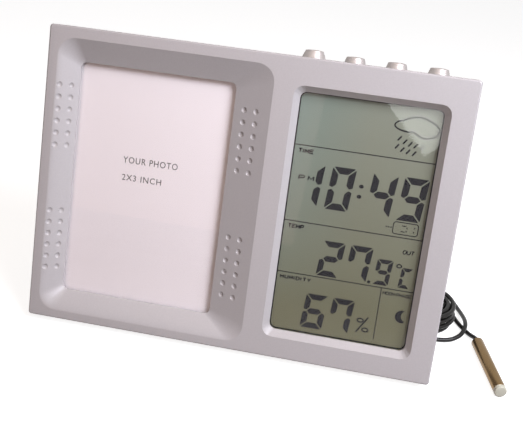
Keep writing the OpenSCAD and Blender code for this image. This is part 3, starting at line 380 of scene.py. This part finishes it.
lean = np.radians(15)
middle_y, foot_lift = 25.6136, 2.60583
recess_left, recess_right, recess_depth = -61.9, 5.65, 4.6
slope_out, slope_in, slope_soften, slope_parting = 6.15, 11.9, 0.35, -30
dent_columns = [recess_left + 1.3, recess_left + 4.15, recess_right - 8.55, recess_right - 4.6]
dent_rows, dent_pitch, dent_groups, picture_z = 6, 3.74, 19.9, 45.75
dent_reach_x, dent_reach_z, slope_margin, slope_step = 1.1, 1.0, 0.02, 0.01


def on_case(points):
    """Case millimetres (X right, Y from the face to the back, Z up) to metres on the table: turned back
    by the lean about the X axis, then moved so that the foot stands on the table."""
    p = np.asarray(points, float)
    y, z = p[..., 1], p[..., 2]
    return np.stack([p[..., 0], y * np.cos(lean) + z * np.sin(lean) - middle_y,
                     z * np.cos(lean) - y * np.sin(lean) + foot_lift], -1) / 1000


def to_case(points):
    """The way back from on_case: metres on the table to case millimetres."""
    p = np.asarray(points, float) * 1000
    y, z = p[..., 1] + middle_y, p[..., 2] - foot_lift
    return np.stack([p[..., 0], y * np.cos(lean) - z * np.sin(lean),
                     y * np.sin(lean) + z * np.cos(lean)], -1)


def joined_copy(node, name, body, sharp=30):
    """A node's own shape with its loose triangles joined: its doubles merge, it shades smooth up to the
    sharp angle, and large flat faces keep their own normals."""
    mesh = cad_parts[node].data.copy()
    mesh.name = name
    if "custom_normal" in mesh.attributes:
        mesh.attributes.remove(mesh.attributes["custom_normal"])
    shell = bmesh.new()
    shell.from_mesh(mesh)
    bmesh.ops.remove_doubles(shell, verts=shell.verts, dist=2e-6)
    shell.to_mesh(mesh)
    shell.free()
    mesh.shade_smooth()
    mesh.set_sharp_from_angle(angle=np.radians(sharp))
    mesh.materials.clear()
    made = bpy.data.objects.new(name, mesh)
    bpy.context.scene.collection.objects.link(made)
    weight = made.modifiers.new("face_weight", "WEIGHTED_NORMAL")
    weight.keep_sharp = True
    weight.weight = 100
    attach(made, body)
    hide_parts(node)
    return made


def mesh_points(mesh):
    """A mesh's points as rows of three."""
    points = np.empty(3 * len(mesh.vertices))
    mesh.vertices.foreach_get("co", points)
    return points.reshape(-1, 3)


def slope_depth(x):
    """Depth of the recess's side slopes at x: the outer one starts with a soft round, where width runs as a
    mix of the depth's share and its square root, and the one towards the display falls straight."""
    width = np.clip((x - recess_left) / slope_out, 0, 1)
    soft = ((np.sqrt(slope_soften**2 + 4 * (1 - slope_soften) * width) - slope_soften)
            / (2 * (1 - slope_soften))) ** 2
    return recess_depth * np.where(x < slope_parting, soft, np.clip((recess_right - x) / slope_in, 0, 1))


def press_dents(mesh):
    """Turns each round cap on the side slopes into a dent: a point near a dent's middle and in front of the
    slope goes to its mirror place behind it, along the slope's own normal."""
    p = to_case(mesh_points(mesh))
    rows = (np.arange(dent_rows) - (dent_rows - 1) / 2) * dent_pitch
    heights = picture_z + np.concatenate([rows - dent_groups, rows + dent_groups])
    near = ((np.abs(p[:, 0, None] - dent_columns).min(1) < dent_reach_x)
            & (np.abs(p[:, 2, None] - heights).min(1) < dent_reach_z) & (p[:, 1] < recess_depth))
    fall = (slope_depth(p[:, 0] + slope_step) - slope_depth(p[:, 0] - slope_step)) / (2 * slope_step)
    ahead = slope_depth(p[:, 0]) - p[:, 1]
    move = np.where(near & (ahead > slope_margin), 2 * ahead / (1 + fall**2), 0)
    p[:, 0] -= move * fall
    p[:, 1] += move
    mesh.vertices.foreach_set("co", on_case(p).ravel())
    mesh.update()


front = joined_copy("front_frame", "front_moulding", "case")
press_dents(front.data)

# Silver paint on ABS: aluminium flake in clear lacquer. The flake is far too fine to show and is drawn
# 0.4 mm wide, which leaves a faint grain, and the lacquer gives a soft, broad highlight.
silver_paint = grained("silver_paint", "#bdb9bb", "#b1adaf", 0.4, 0.42, 0.003, Metallic=0.08,
                       Specular_IOR_Level=0.3)
front.data.materials.append(silver_paint)

# ---- picture window, card and back plate ----
# A clear acrylic pane sits behind the recess. The card behind it slides in through the slot on top, and a
# white plate with four screws holds both.

# Clear cast acrylic: it lets nearly all light through, and its two faces mirror a share of the room that
# grows towards grazing angles. The alpha is that share, and what it shows is a plain mirror, so the shader
# is set as a metal.
acrylic = bpy.data.materials.new("clear_acrylic")
acrylic.use_nodes = True
tree = acrylic.node_tree
shader = tree.nodes["Principled BSDF"]
shader.inputs["Base Color"].default_value = linear("#ffffff")
shader.inputs["Metallic"].default_value = 1.0
shader.inputs["Roughness"].default_value = 0.03
grazing = add(tree, "ShaderNodeLayerWeight", {"Blend": 0.5})
steep = add(tree, "ShaderNodeMath", {0: grazing.outputs["Facing"], 1: 5.0}, operation="POWER")
mirror = add(tree, "ShaderNodeMapRange", {"Value": steep.outputs[0], "To Min": 0.012, "To Max": 0.8})
tree.links.new(mirror.outputs[0], shader.inputs["Alpha"])
dress(acrylic, "picture_window")

# Uncoated card, off-white, with paper fibres too faint to see at arm's length.
dress(grained("uncoated_card", "#f6eff1", "#efe7ea", 0.6, 0.75, 0.004), "picture_card")
# White ABS, moulded: even and satin.
white_abs = grained("white_abs", "#dcdbd4", "#d2d1ca", 1.2, 0.5)
dress(white_abs, "picture_back", "lcd_holder")

card_front = 6.55
line_thick = 0.02
card_word_spacing = 1.15


def lettering(words, x0, x1, z0, z1, y, spacing):
    """Plain capitals as a thin solid at depth y: set as text, made a mesh and stretched to fill the box."""
    text = bpy.data.curves.new("words", "FONT")
    text.body, text.extrude, text.space_character, text.resolution_u = words, 0.5, spacing, 4
    holder = bpy.data.objects.new("words", text)
    mesh = bpy.data.meshes.new_from_object(holder)
    points = mesh_points(mesh)
    share = (points - points.min(0)) / np.ptp(points, axis=0)
    faces = [list(p.vertices) for p in mesh.polygons]
    bpy.data.objects.remove(holder)
    return np.stack([x0 + share[:, 0] * (x1 - x0), y + line_thick * (0.5 - share[:, 2]),
                     z0 + share[:, 1] * (z1 - z0)], 1), faces


def printed(name, parts, body, material):
    """One object from parts, each points on the case and faces."""
    starts = np.cumsum([0] + [len(points) for points, _ in parts])
    faces = [[start + v for v in face] for start, (_, part) in zip(starts.tolist(), parts) for face in part]
    made = piece(name, on_case(np.concatenate([points for points, _ in parts])), faces)
    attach(made, body)
    made.data.materials.append(material)
    return made


# Black offset ink: thin and matt.
ink = grained("offset_ink", "#2a2729", "#1c1a1b", 0.5, 0.6)
card_lines = [("YOUR PHOTO", -40.0, -22.2, 53.0, 55.0), ("2X3 INCH", -39.9, -27.0, 47.4, 49.3)]
printed("card_words", [lettering(*line, card_front - line_thick, card_word_spacing) for line in card_lines],
        "card", ink)

# ---- display ----
# A liquid crystal cell under a clear lens: a grey-green reflective film shows behind dark figures. The
# figures lean to the right, as such cells draw them.

# The lens ends just short of the figures and the film, so that neither lies in its surface.
film_front, lens_gap = 3.9, 0.1
lens = joined_copy("lcd_lens", "display_lens", "case")
points = to_case(mesh_points(lens.data))
points[:, 1] = np.minimum(points[:, 1], film_front - lens_gap)
lens.data.vertices.foreach_set("co", on_case(points).ravel())
lens.data.materials.append(acrylic)
figure_y = film_front - line_thick
figure_slant = 0.088
bar_gap, bar_clip = 0.13, 0.12


def case_axes(tree):
    """X, Y and Z along the case, in metres: Object coordinates turned upright by the lean."""
    place = add(tree, "ShaderNodeTexCoord")
    upright = add(tree, "ShaderNodeMapping", {"Vector": place.outputs["Object"], "Rotation": (lean, 0, 0)})
    return add(tree, "ShaderNodeSeparateXYZ", {0: upright.outputs[0]}).outputs


# Polarising film over a reflector: grey-green, with the fine grain of the reflector. Painted shade makes it
# darker and browner towards the bottom, and a painted reflection makes it bluer at the top left.
film = grained("polarised_film", "#8a8f82", "#868b7e", 0.5, 0.5, 0.002, Specular_IOR_Level=0.1)
tree = film.node_tree
shader = tree.nodes["Principled BSDF"]
own = shader.inputs["Base Color"].links[0].from_socket
axes = case_axes(tree)
height = add(tree, "ShaderNodeMapRange", {"Value": axes["Z"], "From Min": 0.010, "From Max": 0.086})
# painted shade: towards the bottom the film's colour runs to a darker brown
falls = add(tree, "ShaderNodeMix", {0: height.outputs[0], 6: linear("#6e6d55"), 7: own}, data_type="RGBA")
# painted reflection: at the top left the colour runs to a paler blue-green
leftness = add(tree, "ShaderNodeMapRange", {"Value": axes["X"], "From Min": 0.036, "From Max": 0.013})
corner = add(tree, "ShaderNodeMath", {0: leftness.outputs[0], 1: height.outputs[0]}, operation="MULTIPLY")
painted_reflection_tint = add(tree, "ShaderNodeMix", {0: corner.outputs[0], 6: falls.outputs[2], 7: linear("#7a8c84")},
            data_type="RGBA")
tree.links.new(painted_reflection_tint.outputs[2], shader.inputs["Base Color"])
dress(film, "front_polariser", "rear_reflector")


def plate(outline, y=figure_y):
    """A thin plate on the display: its outline in X and Z at depth y, again a line's thickness behind,
    and a wall between them."""
    flat = np.asarray(outline, float)
    both = np.concatenate([np.insert(flat, 1, y, 1), np.insert(flat, 1, y + line_thick, 1)])
    return both, grid_faces(2, len(flat))


def stroke(path, width, closed=False, y=figure_y):
    """A line of even width: at each point of the path a flat four-cornered section stands square to it."""
    p = np.asarray(path, float)
    ahead = np.roll(p, -1, 0) - np.roll(p, 1, 0) if closed else np.gradient(p, axis=0)
    side = width / 2 * np.stack([-ahead[:, 1], ahead[:, 0]], 1) / np.linalg.norm(ahead, axis=1)[:, None]
    flat = np.stack([p - side, p + side, p + side, p - side], 1)
    depth = np.broadcast_to([y, y, y + line_thick, y + line_thick], flat.shape[:2])
    return np.insert(flat, 1, depth, 2).reshape(-1, 3), grid_faces(len(p), 4, ring=closed)


def oval(x, z, rx, rz, n=20):
    """Points of an ellipse."""
    a = np.linspace(0, 2 * np.pi, n, endpoint=False)
    return np.stack([x + rx * np.cos(a), z + rz * np.sin(a)], 1)


def figure(lit, x, z, w, h, t):
    """Lit segments a to g of a seven-segment figure in a box w by h whose lower left corner is at x, z.
    Each is a bar t thick along an edge of the box or across its middle, with ends cut at 45 degrees and
    their tips clipped, and the box leans by the slant."""
    m = h / 2
    g, c = bar_gap * t, bar_clip * t
    top = [[g + c, h], [w - g - c, h], [w - g - c, h - c], [w - t - g, h - t], [t + g, h - t],
           [g + c, h - c]]
    middle = [[t / 2 + g, m], [t + g, m + t / 2], [w - t - g, m + t / 2], [w - t / 2 - g, m],
              [w - t - g, m - t / 2], [t + g, m - t / 2]]
    upper = [[0, h - g - c], [c, h - g - c], [t, h - t - g], [t, m + t / 2 + g], [t / 2, m + g],
             [0, m + 0.2 * t + g]]
    over, across = np.array([1, -1]), np.array([-1, 1])
    bars = dict(a=np.array(top), g=np.array(middle), f=np.array(upper))
    bars["d"] = bars["a"] * over + [0, h]
    bars["e"] = bars["f"] * over + [0, h]
    bars["b"] = bars["f"] * across + [w, 0]
    bars["c"] = bars["e"] * across + [w, 0]
    return [plate(bars[s] @ [[1, 0], [figure_slant, 1]] + [x, z]) for s in lit]


segments = {"0": "abcdef", "1": "bc", "2": "abged", "4": "fgbc", "6": "afgecd", "7": "fabc", "9": "abfgcd",
            "C": "afed"}
figures = []
for sign, x, z, w, h, t in [("1", 15.6, 48.75, 7.2, 13.3, 2.05), ("0", 25.1, 48.75, 7.2, 13.3, 2.05),
                            ("4", 37.5, 48.75, 7.4, 13.3, 2.05), ("9", 46.8, 48.75, 7.4, 13.3, 2.05),
                            ("2", 25.6, 27.75, 6.9, 11.2, 1.8), ("7", 34.3, 27.75, 6.8, 11.2, 1.8),
                            ("9", 43.1, 27.9, 4.8, 8.1, 1.3), ("C", 50.9, 28.0, 3.5, 6.4, 1.1),
                            ("6", 22.9, 10.4, 6.9, 11.1, 1.8), ("7", 31.3, 10.4, 6.7, 11.1, 1.8)]:
    figures += figure(segments[sign], x, z, w, h, t)

# colon, point, degree ring, percent sign and the moon's crescent
crescent = arc(53.7, 19.0, 2.05, 65, 295, 20) + arc(55.2, 19.3, 1.75, 250, 100, 14)
figures += [plate(oval(35.45, 57.15, 0.72, 0.6)), plate(oval(35.2, 54.0, 0.72, 0.6)),
            plate(oval(42.1, 28.3, 0.5, 0.5)), stroke(oval(50.45, 34.7, 0.72, 0.5), 0.42, True),
            plate(crescent), stroke(oval(41.4, 15.7, 0.95, 0.6), 0.45, True),
            stroke(oval(43.3, 12.85, 0.95, 0.6), 0.45, True), stroke([[40.5, 11.7], [43.75, 17.0]], 0.5)]

# rules between the fields, the small box under the time, its marks, and a dark line round the edge of the
# glass
rule_width, rim_width = 0.3, 0.4
figures += [stroke([[13.55, z], [56.2, z]], rule_width) for z in (67.05, 43.55, 27.15)]
figures += [stroke([[46.25, 27.1], [46.25, 10.4]], rule_width),
            stroke(rounded_box(46.7, 54.2, 44.5, 48.2, 0.8), rule_width, True),
            stroke(rounded_box(13.65, 56.1, 8.7, 82.9, 2.0), rim_width, True)]
figures += [plate(oval(x, 46.3, 0.22, 0.3, 8)) for x in (44.7, 45.4, 46.1)]
figures += [stroke([[x, z], [x + 1.3, z]], rule_width) for x, z in ((49.3, 47.2), (49.1, 45.4))]
figures += [stroke([[x, z], [x - 0.05, z - 0.5]], 0.32)
            for x, z in ((50.9, 46.9), (50.8, 45.9), (53.1, 47.2), (53.0, 45.9))]

# rain cloud: one closed line, and two rows of slanting drops
cloud = [[42.4, 76.9], [43.1, 78.0], [44.7, 78.5], [46.2, 79.3], [48.4, 80.0], [50.8, 79.9], [53.2, 79.0],
         [55.1, 77.7], [55.5, 76.3], [54.6, 75.0], [52.8, 74.2], [50.9, 74.1], [49.2, 74.8], [47.9, 75.6],
         [46.8, 75.3], [45.0, 75.5], [43.3, 76.0]]
figures.append(stroke(eased_line(cloud, 4, True), 0.45, True))
drops = [(44.4, 73.2), (46.1, 72.4), (47.75, 71.9), (49.4, 71.6), (51.3, 71.4), (44.0, 70.75), (45.7, 70.0),
         (47.45, 69.6), (49.3, 69.3)]
figures += [stroke([[x - 0.5, z - 0.75], [x + 0.5, z + 0.65]], 0.5) for x, z in drops]

# plain capitals, each as lines in a unit box
capitals = {
    "A": [[[0, 0], [0.5, 1], [1, 0]], [[0.2, 0.35], [0.8, 0.35]]],
    "D": [[[0, 0], [0, 1], [0.6, 1], [1, 0.7], [1, 0.3], [0.6, 0], [0, 0]]],
    "E": [[[1, 1], [0, 1], [0, 0], [1, 0]], [[0, 0.5], [0.85, 0.5]]],
    "H": [[[0, 0], [0, 1]], [[1, 0], [1, 1]], [[0, 0.5], [1, 0.5]]],
    "I": [[[0, 0], [0, 1]]],
    "M": [[[0, 0], [0, 1]], [[0, 1], [0.5, 0.3], [1, 1]], [[1, 1], [1, 0]]],
    "N": [[[0, 0], [0, 1]], [[0, 1], [1, 0]], [[1, 0], [1, 1]]],
    "O": [[[0.3, 0], [0, 0.25], [0, 0.75], [0.3, 1], [0.7, 1], [1, 0.75], [1, 0.25], [0.7, 0], [0.3, 0]]],
    "P": [[[0, 0], [0, 1]], [[0, 1], [0.75, 1], [1, 0.85], [1, 0.6], [0.75, 0.45], [0, 0.45]]],
    "S": [[[1, 0.85], [0.75, 1], [0.2, 1], [0, 0.8], [0.1, 0.6], [0.9, 0.4], [1, 0.2], [0.8, 0], [0.2, 0],
           [0, 0.15]]],
    "T": [[[0, 1], [1, 1]], [[0.5, 1], [0.5, 0]]],
    "U": [[[0, 1], [0, 0.2], [0.25, 0], [0.75, 0], [1, 0.2], [1, 1]]],
    "Y": [[[0, 1], [0.5, 0.5], [1, 1]], [[0.5, 0.5], [0.5, 0]]],
}


def name_strokes(words, x0, x1, z0, z1, gap, width):
    """A field's name between x0 and x1: each capital is one share wide, an I and a space are narrower,
    a gap follows each, and the whole leans by the slant."""
    shares = np.array([{"I": 0.15, " ": 0.35}.get(letter, 1.0) for letter in words])
    share = (x1 - x0) / (shares.sum() + gap * (len(words) - 1))
    lefts = x0 + share * (np.cumsum(shares + gap) - shares - gap)
    lean_over = [[1, 0], [figure_slant, 1]]
    return [stroke((np.array(line) * [share * wide, z1 - z0]) @ lean_over + [left, z0], width)
            for letter, left, wide in zip(words, lefts, shares) for line in capitals.get(letter, [])]


# field names
for words, x0, x1, z0, z1, gap, width in [
        ("TIME", 15.1, 19.6, 64.8, 65.9, 0.42, 0.42), ("PM", 16.3, 20.8, 56.6, 57.9, 0.75, 0.37),
        ("TEMP", 15.1, 19.8, 41.4, 42.5, 0.42, 0.41), ("OUT", 50.9, 54.2, 38.7, 39.8, 0.3, 0.34),
        ("HUMIDITY", 14.85, 24.3, 25.1, 26.1, 0.6, 0.4),
        ("MOON PHASE", 46.9, 55.5, 25.2, 26.15, 0.22, 0.27)]:
    figures += name_strokes(words, x0, x1, z0, z1, gap, width)

# Liquid crystal between crossed polarisers: nearly black with a violet cast.
crystal = grained("liquid_crystal", "#18161c", "#131116", 0.6, 0.5, Specular_IOR_Level=0.1)
printed("display_figures", figures, "case", crystal)

# ---- cell glass and contacts ----
# Two soda-lime glass plates hold the liquid crystal. Striped rubber strips carry the current from the
# board to the glass.

# Soda-lime glass with its green edge.
float_glass = grained("soda_lime_glass", "#dfeee6", "#d2e4da", 3.0, 0.06, IOR=1.52, Transmission_Weight=1.0)
dress(float_glass, "lcd_front_glass", "lcd_rear_glass")
# Silicone rubber in carbon-black and clear layers, 0.2 mm each: drawn as one pink-grey grain.
dress(grained("striped_silicone", "#c98a95", "#6d4a52", 0.4, 0.5), "zebra_strips")

# ---- keys ----
# Four turned-looking keys, moulded in ABS and plated: a flange under the case's wall, a shank, a short
# cone and a softly domed top. The first one, which stops the alarm, is the largest.

face_h = 93.0
key_places = [15.6, 27.95, 40.3, 52.65]
key_depth = 6.3
key_sizes = [(7.2, 2.4), (6.5, 1.9), (6.5, 1.9), (6.5, 1.9)]
key_top = 4.9


def key_grid(d, h, sides=48):
    """Rings from the flange's underside up to the dome: each is a superellipse with two half widths, a
    power and a height above the case, so that the square flange turns into the round key."""
    r, top = d / 2, key_top / 2
    flange = [[0, 0, 2, -3.0], [4.9, 3.7, 9, -3.0], [5.0, 3.8, 9, -2.9], [5.0, 3.8, 9, -2.2],
              [4.9, 3.7, 9, -2.1]]
    shank = [[r, r, 2, -2.1], [r, r, 2, 0.0], [r - 0.1, r - 0.1, 2, 0.15]]
    cone = [[half, half, 2, share * h] for half, share in ((0.6 * r + 0.4 * top + 0.05, 0.42),
                                                           (0.25 * r + 0.75 * top + 0.15, 0.68))]
    shoulder = [[top + 0.3 * np.sin(a), top + 0.3 * np.sin(a), 2, h - 0.5 + 0.3 * np.cos(a)]
                for a in np.radians([80, 60, 40, 20, 0])]
    dome = [[0.8 * top, 0.8 * top, 2, h - 0.12], [0.5 * top, 0.5 * top, 2, h - 0.04], [0, 0, 2, h]]
    rows = np.array(flange + shank + cone + shoulder + dome)
    a = np.linspace(0, 2 * np.pi, sides, endpoint=False)[None, :]
    power = 2 / rows[:, 2, None]
    x = rows[:, 0, None] * np.sign(np.cos(a)) * np.abs(np.cos(a)) ** power
    y = rows[:, 1, None] * np.sign(np.sin(a)) * np.abs(np.sin(a)) ** power
    return np.stack([x, y, np.broadcast_to(rows[:, 3, None], x.shape)], -1)


# Satin chrome plate on ABS: a metal's gloss with a champagne cast and dark edges.
plated = grained("satin_chrome_plate", "#b4adab", "#a59e9b", 0.8, 0.45, 0.0, Metallic=0.6)
for number, (x, size) in enumerate(zip(key_places, key_sizes), 1):
    shape = key_grid(*size) + [x, key_depth, face_h]
    key = piece(f"key_cap_{number}", on_case(shape).reshape(-1, 3), grid_faces(*shape.shape[:2]), sharp=50)
    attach(key, f"key_{number}")
    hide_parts(f"key_{number}")
    key.data.materials.append(plated)

# ---- circuit board ----
# A printed board behind the display carries the chip under a drop of resin, the crystal, the buzzer and
# the sensors. Screws hold it to the front frame.

# Green solder resist over copper tracks: tracks 0.8 mm apart run up the board and show paler through it.
track_mm = 0.8
board = grained("solder_resist", "#1f5a34", "#184a2a", 2.0, 0.3)
tree = board.node_tree
shader = tree.nodes["Principled BSDF"]
place = add(tree, "ShaderNodeTexCoord")
track = add(tree, "ShaderNodeTexWave", {"Vector": place.outputs["Object"], "Scale": 1000 / track_mm / 20,
                                        "Distortion": 1.5, "Detail": 0.0}, bands_direction="X")
copper = add(tree, "ShaderNodeMath", {0: track.outputs["Fac"], 1: 0.72}, operation="GREATER_THAN")
own = shader.inputs["Base Color"].links[0].from_socket
seen = add(tree, "ShaderNodeMix", {0: copper.outputs[0], 6: own, 7: linear("#2c7446")}, data_type="RGBA")
tree.links.new(seen.outputs[2], shader.inputs["Base Color"])
dress(board, "circuit_board")

# Zinc-plated steel: bright, slightly blue, with a fine mottle from plating.
zinc = grained("zinc_plated_steel", "#c9cbcd", "#a9acaf", 0.5, 0.28, 0.004, Metallic=1.0)
dress(zinc, "board_screws", "picture_back_screws", "case_screws", "hinge_pin", "battery_plates",
      "battery_springs", "quartz_crystal")
# Black phenolic and nylon, moulded: half matt.
dark_moulding = grained("black_moulding", "#2a2a2b", "#1d1d1e", 0.8, 0.45, 0.004)
dress(dark_moulding, "switch_bodies", "buzzer", "resistors")
# Cast epoxy: black and glossy.
dress(grained("potting_resin", "#1b1a1a", "#121111", 4.0, 0.18), "chip_resin")
# Shrunk PVC sleeve: blue and smooth.
dress(grained("shrunk_sleeve", "#28345c", "#212c50", 2.0, 0.3), "capacitor")
# White ABS, as on the back plate.
dress(white_abs, "humidity_sensor")
# Dipped resin drop: brown and glossy.
dress(grained("dipped_resin", "#6b3f22", "#54301a", 1.5, 0.2), "room_sensor")

# ---- back shell, door and leg ----
# The back shell closes the frame with four deep screws. Its bay takes two small cells behind a hinged
# door, vents let air to the sensor, and the leg folds into its channel on a steel pin.

# Silver-grey ABS coloured in the mass: the mould's spark-eroded face leaves a fine, even grit.
back_abs = grained("silver_grey_abs", "#b9b5b9", "#aca8ac", 0.45, 0.5, 0.012, Metallic=0.2)
for node, name, body in [("rear_cover", "back_moulding", "case"), ("battery_door", "door_moulding", "door"),
                         ("stand_leg", "leg_moulding", "leg")]:
    joined_copy(node, name, body).data.materials.append(back_abs)

# ---- batteries and wires ----
# Two cells with plain printed jackets lie side by side, one each way round. A red and a black wire bring
# their current to the board.

# Printed plastic jacket over a steel can: a dark body with one band near the end.
band_height = 0.0565
jacket = grained("cell_jacket", "#3b4654", "#323c49", 2.0, 0.25)
tree = jacket.node_tree
shader = tree.nodes["Principled BSDF"]
own = shader.inputs["Base Color"].links[0].from_socket
band = add(tree, "ShaderNodeMath", {0: case_axes(tree)["Z"], 1: band_height}, operation="GREATER_THAN")
striped = add(tree, "ShaderNodeMix", {0: band.outputs[0], 6: own, 7: linear("#b9b5a8")}, data_type="RGBA")
tree.links.new(striped.outputs[2], shader.inputs["Base Color"])
dress(jacket, "batteries")
# Red PVC insulation.
dress(grained("soft_pvc_red", "#b32a22", "#9a2019", 1.2, 0.4), "wire_red")
